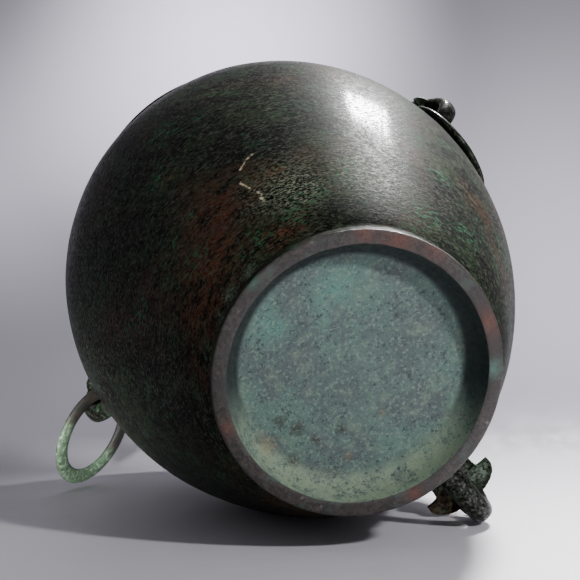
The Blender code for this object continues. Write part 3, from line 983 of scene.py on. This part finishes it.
rim_skin = new_material("worn_rim", 0.5, coat=0.1, coat_roughness=0.3, metallic=0.2)
here = place_of(rim_skin)
fine = noise(rim_skin, here, 0.0016, 4, 0.7)
grain = noise(rim_skin, here, 0.004, 6, 0.75)
cloud = noise(rim_skin, here, 0.016, 5, 0.7)
haze = noise(rim_skin, here, 0.02, 4)
rusty = on_rim((-160, 0.1, 0.02), (161, 0.108, 0.02), (145, 0.1, 0.022), (131, 0.103, 0.014),
               (20, 0.1, 0.012), (-75, 0.1, 0.012))
green = on_rim((-140, 0.098, 0.012), (83, 0.107, 0.012))
chips = on_rim((-117, 0.103, 0.0022), (-26, 0.098, 0.002), (-35, 0.1, 0.0016), (5, 0.095, 0.002),
               (70, 0.1, 0.0016), (110, 0.104, 0.002))
colour = layered(
    rim_skin, RIM_BLACK,
    (RIM_BROWN, step_between(rim_skin, grain, 0.42, 0.62)),
    (RIM_WEAR, step_between(rim_skin, fine, 0.58, 0.68, 0, 0.5)),
    (RIM_SOOT, step_between(rim_skin, cloud, 0.52, 0.62, 0, 0.8)),
    (RIM_DULL_GREEN, step_between(rim_skin, haze, 0.52, 0.64, 0, 0.7)),
    (RIM_UMBER, spots(rim_skin, here, on_rim((-150, 0.1, 0.075)), cloud, 1.0), 0.65),
    (RIM_RUST, spots(rim_skin, here, rusty, grain, 3.5),
     step_between(rim_skin, grain, 0.40, 0.52, 0.15, 0.85)),
    (RIM_GREEN, spots(rim_skin, here, green, grain, 1.6), 0.5),
    (RIM_CHIP, spots(rim_skin, here, chips, fine, 2.5)))
finish_with(rim_skin, colour, step_between(rim_skin, grain, 0.35, 0.65, 0.35, 0.65),
            [(fine, 0.5, 0.0005), (grain, 0.6, 0.001)])
print("worn rim has", len(rusty), "rusty places and", len(chips), "chips")

# %% [markdown]
# Nothing rubs the recess inside the foot, so it keeps its matt crust of green and blue-grey salts,
# with fine dark specks and brown, ochre and yellow spots. Its wall gets painted light, paler on the
# side that lies low in the camera's view, and a painted shadow, nearly black, on the side above.

# %% The crust in the recess
def on_floor(*places):
    """Places on the recess's floor, given by x, y and reach."""
    return [(x, y, RECESS_DEPTH, reach) for x, y, reach in places]


TEAL = (0.088, 0.150, 0.128)
GREY_TEAL = (0.075, 0.098, 0.098)
SLATE = (0.068, 0.08, 0.086)
PALE_SALT = (0.16, 0.22, 0.16)
PAINTED_WALL_LIGHT = (0.20, 0.26, 0.17)
TURQUOISE = (0.10, 0.27, 0.22)
OCHRE = (0.22, 0.13, 0.05)
UMBER = (0.028, 0.020, 0.015)
YELLOW_SALT = (0.34, 0.35, 0.2)
FLECK = (0.20, 0.27, 0.21)
SPECK = (0.030, 0.042, 0.042)
SHADED_WALL = (0.006, 0.013, 0.012)

recess_skin = new_material("green_crust", 0.85)
here = place_of(recess_skin)
fine = noise(recess_skin, here, 0.0022, 3, 0.7)
grain = noise(recess_skin, here, 0.0045, 4, 0.75)
flecks = noise(recess_skin, here, 0.0028, 3, 0.7)
mottled = noise(recess_skin, here, 0.014, 5, 0.75)
cloud = noise(recess_skin, here, 0.032, 5, 0.7)
ring = distance_from(recess_skin, here, (AXIS.x, AXIS.y, RECESS_DEPTH))
# The recess is split into halves for the painted light and the painted shadow on its wall.
lower_half = step_between(recess_skin, reach_along(recess_skin, here, -CAMERA_UP), -0.026, 0.03)
upper_half = maths(recess_skin, "SUBTRACT", 1.0, lower_half)
lit_lower_wall = maths(recess_skin, "MULTIPLY", step_between(recess_skin, ring, 0.076, 0.088), lower_half)

dull = on_floor((-0.062, -0.004, 0.05), (-0.01, 0.0, 0.04))
turquoise = on_floor((-0.051, 0.067, 0.026), (0.0, 0.07, 0.02))
ochre = on_floor((0.058, 0.007, 0.010), (-0.019, -0.031, 0.004), (0.02, -0.04, 0.005))
brown = on_floor((0.061, 0.015, 0.006), (0.040, 0.015, 0.007), (0.052, -0.014, 0.008), (0.030, -0.014, 0.006),
                 (0.011, -0.021, 0.006), (0.035, 0.002, 0.009), (-0.072, 0.018, 0.004))
yellow = on_floor((-0.101, -0.038, 0.012))
colour = layered(
    recess_skin, TEAL,
    (GREY_TEAL, step_between(recess_skin, cloud, 0.42, 0.6)),
    (SLATE, spots(recess_skin, here, dull, cloud, 2.0), 0.7),
    (PALE_SALT, step_between(recess_skin, mottled, 0.53, 0.66, 0, 0.5)),
    # painted light on the lower wall's lit side
    (PAINTED_WALL_LIGHT, lit_lower_wall, step_between(recess_skin, mottled, 0.38, 0.52, 0.2, 0.8)),
    (TURQUOISE, spots(recess_skin, here, turquoise, mottled, 3.0), 0.7),
    (OCHRE, spots(recess_skin, here, ochre, grain, 3.0), 0.8),
    (UMBER, spots(recess_skin, here, brown, grain, 1.5), 0.9),
    (YELLOW_SALT, spots(recess_skin, here, yellow, grain, 3.0), 0.7),
    (FLECK, step_between(recess_skin, flecks, 0.52, 0.64, 0, 0.55)),
    (SPECK, step_between(recess_skin, fine, 0.48, 0.36),
     step_between(recess_skin, mottled, 0.56, 0.44, 0.12, 0.9)),
    # painted shadow of the rim on the upper wall and the floor's edge
    (SHADED_WALL, step_between(recess_skin, ring, 0.080, 0.085), upper_half))
finish_with(recess_skin, colour, step_between(recess_skin, grain, 0.35, 0.65, 0.7, 0.95),
            [(fine, 0.45, 0.0006), (grain, 0.6, 0.001), (mottled, 0.3, 0.0016)])
print("crust has", len(brown), "brown and", len(ochre), "ochre spots")

# %% [markdown]
# The inside is out of the hand's reach as well. It is plainer: a dull green-brown skin.

# %% The inside of the vessel
inside_skin = new_material("inside_patina", 0.75)
here = place_of(inside_skin)
grain = noise(inside_skin, here, 0.004, 5, 0.7)
cloud = noise(inside_skin, here, 0.035, 5, 0.7)
colour = layered(
    inside_skin, (0.045, 0.045, 0.035),
    ((0.085, 0.125, 0.095), step_between(inside_skin, cloud, 0.4, 0.65)),
    ((0.15, 0.19, 0.15), step_between(inside_skin, grain, 0.55, 0.7, 0, 0.6)))
finish_with(inside_skin, colour, step_between(inside_skin, grain, 0.35, 0.65, 0.6, 0.9),
            [(grain, 0.5, 0.001), (cloud, 0.3, 0.002)])
print("inside patina has", len(inside_skin.node_tree.nodes), "nodes")

# %% [markdown]
# The right ring has rubbed on its strap and on the table, and carries more green than the rest: pale
# green at its lower left in the photograph, brown at its upper left and nearly black elsewhere.

# %% The green ring
RING_BLACK = (0.012, 0.013, 0.011)
RING_BROWN = (0.03, 0.022, 0.016)
RING_GREEN = (0.10, 0.17, 0.10)
RING_PALE = (0.30, 0.42, 0.29)
RING_RUBBED = (0.20, 0.13, 0.09)

ring_skin = new_material("ring_patina", 0.5, coat=0.04, coat_roughness=0.25, metallic=0.05)
here = place_of(ring_skin)
fine = noise(ring_skin, here, 0.0013, 4, 0.7)
grain = noise(ring_skin, here, 0.0035, 6, 0.75)
cloud = noise(ring_skin, here, 0.012, 5, 0.7)
ring_middle = sum((Vector(corner) for corner in ring_right.bound_box), Vector()) / 8
low_left = (-CAMERA_UP - 0.9 * CAMERA_RIGHT).normalized()
middle_reach = low_left.dot(ring_middle)
along = reach_along(ring_skin, here, low_left)
green = step_between(ring_skin, along, middle_reach - 0.004, middle_reach + 0.016)
high_left = ring_middle + (0.5 * CAMERA_UP - 0.9 * CAMERA_RIGHT).normalized() * RING_RADIUS
rubbed = spots(ring_skin, here, [(*high_left, 0.022)], cloud, 1.0)
colour = layered(
    ring_skin, RING_BLACK,
    (RING_BROWN, step_between(ring_skin, cloud, 0.45, 0.6)),
    (RING_GREEN, green, step_between(ring_skin, grain, 0.36, 0.5, 0.2, 1)),
    (RING_PALE, green, step_between(ring_skin, grain, 0.52, 0.62)),
    (RING_RUBBED, rubbed, step_between(ring_skin, grain, 0.42, 0.55)))
finish_with(ring_skin, colour, step_between(ring_skin, grain, 0.35, 0.65, 0.5, 0.8),
            [(fine, 0.5, 0.0005), (grain, 0.5, 0.0008)])
print("the right ring's middle", [round(value, 4) for value in ring_middle])

# %% [markdown]
# ## Putting it together
# The body has four finishes, and its faces already know which is theirs. The lugs and the left ring
# shine a little more, because use has polished them. Each piece then rides on an empty named for its
# body of the frame, and the solid it stands in for is hidden, so that it moves as the CAD part does.

# %% Giving each piece its finish
CREASE_ANGLE = 50

for material in (patina, rim_skin, recess_skin, inside_skin):
    body.data.materials.append(material)
clear_selection()
body.select_set(True)
bpy.context.view_layer.objects.active = body
bpy.ops.object.shade_smooth_by_angle(angle=math.radians(CREASE_ANGLE))
for piece in (front_piece, right_piece, left_piece, ring_left):
    piece.data.materials.append(lug_skin)
ring_right.data.materials.append(ring_skin)
skins = (patina, lug_skin, rim_skin, recess_skin, inside_skin, ring_skin)
print("finishes", [skin.name for skin in skins])

# %% Which body each piece rides on
for piece in (body, front_piece, right_piece, left_piece):
    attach(piece, "vessel")
    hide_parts("vessel")
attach(ring_right, "ring_right")
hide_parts("ring_right")
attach(ring_left, "ring_left")
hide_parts("ring_left")
print("on the vessel", [piece.name for piece in (body, front_piece, right_piece, left_piece)])
